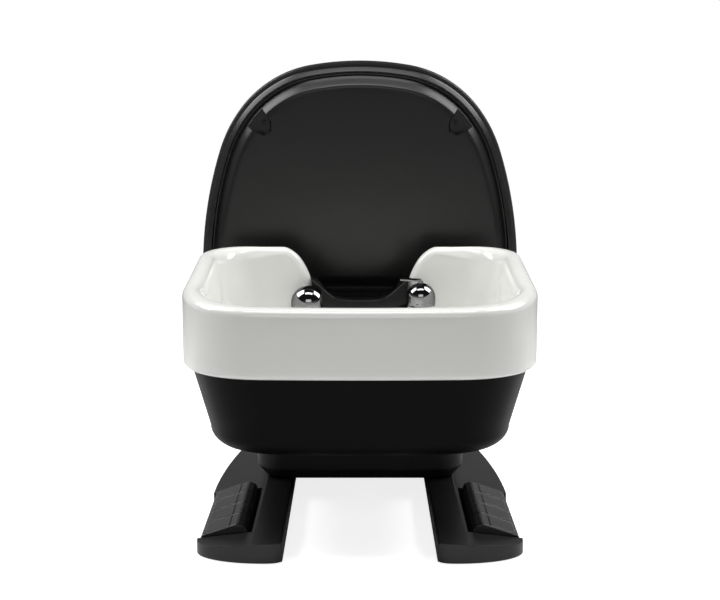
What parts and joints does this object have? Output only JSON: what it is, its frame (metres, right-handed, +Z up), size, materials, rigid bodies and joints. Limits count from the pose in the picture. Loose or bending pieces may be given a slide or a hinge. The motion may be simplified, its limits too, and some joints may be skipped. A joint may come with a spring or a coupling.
{
  "type": "backwash unit",
  "caption": "Salon backwash unit: wash bowl with neck rest, mixer and hand shower on a pedestal with foot pedals, and a sliding, reclining seat with a powered legrest.",
  "frame": {"origin": "middle of the footprint's bounding box, on the floor", "axes": "+X to the stylist's right, the mirror plane is X = 0; +Y from the stylist and the bowl towards the client's feet; +Z up"},
  "size_m": [0.682, 1.3184, 0.894],
  "materials": {
    "ceramic": "white vitreous glaze",
    "black_moulding": "black moulded plastic, fine satin grain",
    "shell_moulding": "black moulded plastic, satin",
    "pedal_plastic": "black moulded plastic",
    "black_steel": "black powder coat",
    "grey_steel": "zinc plated steel",
    "chrome": "polished chrome plate",
    "soft_black": "soft moulded gel",
    "rubber": "matte rubber",
    "upholstery": "black upholstery",
    "board": "birch plywood",
    "pipe_plastic": "pale moulded pipe",
    "brass": "turned brass"
  },
  "bodies": {
    "base": {"base_frame": "black_steel", "foot_pads": "rubber", "leg_cover_right": "black_moulding", "leg_cover_left": "black_moulding", "pedal_shafts": "grey_steel", "pedal_switches": "pedal_plastic", "pedestal_frame": "black_steel", "pedestal_cover": "black_moulding", "pedestal_screws": "grey_steel", "control_box": "pedal_plastic", "water_inlets": "brass", "bowl_bracket": "black_steel", "bowl_pads": "rubber", "bowl_housing": "black_moulding", "bowl": "ceramic", "neck_rest": "soft_black", "drain_body": "chrome", "waste_pipe": "pipe_plastic", "mixer_base": "chrome", "shower_holder": "chrome", "slide_rails_fixed": "grey_steel", "slide_cover": "black_moulding", "slide_actuator": "black_steel"},
    "pedal_left_1": {"pedal_left_1": "pedal_plastic"},
    "pedal_right_1": {"pedal_right_1": "pedal_plastic"},
    "pedal_left_2": {"pedal_left_2": "pedal_plastic"},
    "pedal_right_2": {"pedal_right_2": "pedal_plastic"},
    "pedal_left_3": {"pedal_left_3": "pedal_plastic"},
    "pedal_right_3": {"pedal_right_3": "pedal_plastic"},
    "pedal_left_4": {"pedal_left_4": "pedal_plastic"},
    "pedal_right_4": {"pedal_right_4": "pedal_plastic"},
    "hand_shower": {"hand_shower": "chrome"},
    "strainer": {"strainer": "chrome"},
    "mixer_cap": {"mixer_cap": "chrome"},
    "mixer_lever": {"mixer_lever": "chrome"},
    "slide_middle": {"slide_rails_middle": "grey_steel"},
    "seat": {"slide_rails_inner": "grey_steel", "slide_rod": "grey_steel", "seat_frame": "black_steel", "hinge_bushes": "brass", "seat_pan": "board", "seat_cushion": "upholstery", "arm_supports": "black_steel", "arm_pads": "upholstery", "recline_actuator": "black_steel", "legrest_actuator": "black_steel"},
    "back": {"recline_shaft": "grey_steel", "back_frame": "black_steel", "back_shell": "shell_moulding", "shell_screws": "grey_steel", "back_board": "board", "back_cushion": "upholstery"},
    "recline_rod": {"recline_rod": "grey_steel"},
    "legrest": {"legrest_shaft": "grey_steel", "legrest_frame": "black_steel", "legrest_board": "board", "legrest_cushion": "upholstery"},
    "legrest_rod": {"legrest_rod": "grey_steel"}
  },
  "joints": [
    {"name": "seat_slide", "type": "slide", "parent": "base", "child": "seat", "axis": [0, 1, 0], "range_m": [0, 0.49]},
    {"name": "slide_middle_slide", "type": "slide", "parent": "base", "child": "slide_middle", "axis": [0, 1, 0], "range_m": [0, 0.245]},
    {"name": "back_recline", "type": "hinge", "parent": "seat", "child": "back", "pos_m": [0, 0.03083, 0.36], "axis": [1, 0, 0], "range_deg": [0, 78]},
    {"name": "recline_rod_slide", "type": "slide", "parent": "seat", "child": "recline_rod", "axis": [0, 1, 0], "range_m": [0, 0.12147]},
    {"name": "legrest_lift", "type": "hinge", "parent": "seat", "child": "legrest", "pos_m": [0, 0.57083, 0.35], "axis": [1, 0, 0], "range_deg": [0, 85]},
    {"name": "legrest_rod_slide", "type": "slide", "parent": "seat", "child": "legrest_rod", "axis": [0, 1, 0], "range_m": [0, 0.11912]},
    {"name": "mixer_turn", "type": "hinge", "parent": "base", "child": "mixer_cap", "pos_m": [0.124, -0.19218, 0.417], "axis": [0, 0, 1], "range_deg": [-45, 45]},
    {"name": "mixer_lift", "type": "hinge", "parent": "mixer_cap", "child": "mixer_lever", "pos_m": [0.124, -0.19218, 0.439], "axis": [0.4384, 0.8988, 0], "range_deg": [0, 20]},
    {"name": "hand_shower_lift", "type": "slide", "parent": "base", "child": "hand_shower", "axis": [0, 0, 1], "range_m": [0, 0.1]},
    {"name": "strainer_lift", "type": "slide", "parent": "base", "child": "strainer", "axis": [0, 0, 1], "range_m": [0, 0.02]},
    {"name": "pedal_left_1_press", "type": "hinge", "parent": "base", "child": "pedal_left_1", "pos_m": [-0.212, -0.53543, 0.026], "axis": [0, -1, 0], "range_deg": [0, 4], "stiffness_Nm_per_rad": 2, "springref_deg": -5.73},
    {"name": "pedal_right_1_press", "type": "hinge", "parent": "base", "child": "pedal_right_1", "pos_m": [0.212, -0.53543, 0.026], "axis": [0, 1, 0], "range_deg": [0, 4], "stiffness_Nm_per_rad": 2, "springref_deg": -5.73},
    {"name": "pedal_left_2_press", "type": "hinge", "parent": "base", "child": "pedal_left_2", "pos_m": [-0.212, -0.45992, 0.026], "axis": [0, -1, 0], "range_deg": [0, 4], "stiffness_Nm_per_rad": 2, "springref_deg": -5.73},
    {"name": "pedal_right_2_press", "type": "hinge", "parent": "base", "child": "pedal_right_2", "pos_m": [0.212, -0.45992, 0.026], "axis": [0, 1, 0], "range_deg": [0, 4], "stiffness_Nm_per_rad": 2, "springref_deg": -5.73},
    {"name": "pedal_left_3_press", "type": "hinge", "parent": "base", "child": "pedal_left_3", "pos_m": [-0.212, -0.38443, 0.026], "axis": [0, -1, 0], "range_deg": [0, 4], "stiffness_Nm_per_rad": 2, "springref_deg": -5.73},
    {"name": "pedal_right_3_press", "type": "hinge", "parent": "base", "child": "pedal_right_3", "pos_m": [0.212, -0.38443, 0.026], "axis": [0, 1, 0], "range_deg": [0, 4], "stiffness_Nm_per_rad": 2, "springref_deg": -5.73},
    {"name": "pedal_left_4_press", "type": "hinge", "parent": "base", "child": "pedal_left_4", "pos_m": [-0.212, -0.30893, 0.026], "axis": [0, -1, 0], "range_deg": [0, 4], "stiffness_Nm_per_rad": 2, "springref_deg": -5.73},
    {"name": "pedal_right_4_press", "type": "hinge", "parent": "base", "child": "pedal_right_4", "pos_m": [0.212, -0.30893, 0.026], "axis": [0, 1, 0], "range_deg": [0, 4], "stiffness_Nm_per_rad": 2, "springref_deg": -5.73}
  ],
  "couplings": [
    {"joint": "slide_middle_slide", "follows": "seat_slide", "ratio": 0.5},
    {"joint": "back_recline", "follows": "seat_slide", "rad_per_m": 2.7782},
    {"joint": "recline_rod_slide", "follows": "seat_slide", "ratio": 0.24789},
    {"joint": "legrest_rod_slide", "follows": "legrest_lift", "m_per_rad": 0.080297}
  ]
}
